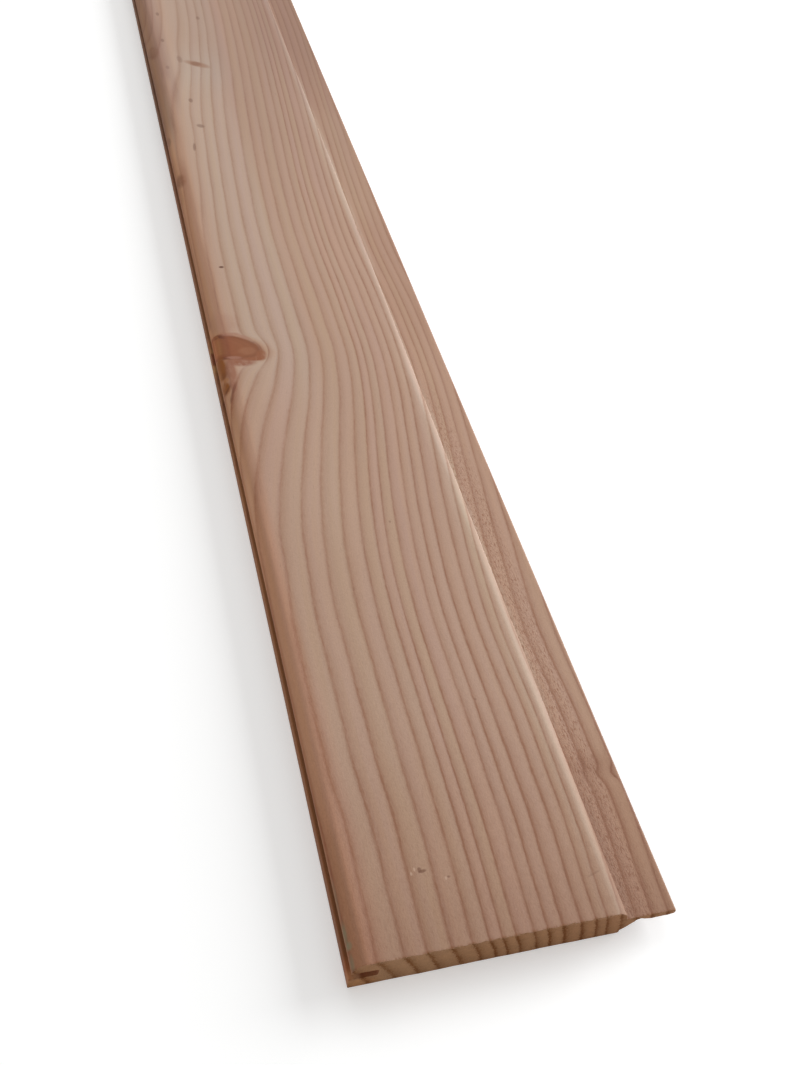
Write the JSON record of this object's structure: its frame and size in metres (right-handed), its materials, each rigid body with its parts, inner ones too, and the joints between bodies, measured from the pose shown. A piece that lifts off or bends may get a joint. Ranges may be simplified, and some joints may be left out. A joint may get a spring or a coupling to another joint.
{
  "type": "tongue and groove board",
  "caption": "Planed softwood cladding board with rounded face edges, a long tongue on one edge and a groove on the other, for lining walls, ceilings and facades.",
  "frame": {"origin": "middle of the board's outline, on its back", "axes": "+X across the board from the groove to the tongue, +Y along the grain to the far end, +Z from the back to the face"},
  "size_m": [0.146, 2, 0.02],
  "materials": {
    "board_wood": "planed softwood, bare"
  },
  "bodies": {
    "root": {"board": "board_wood"}
  },
  "joints": []
}
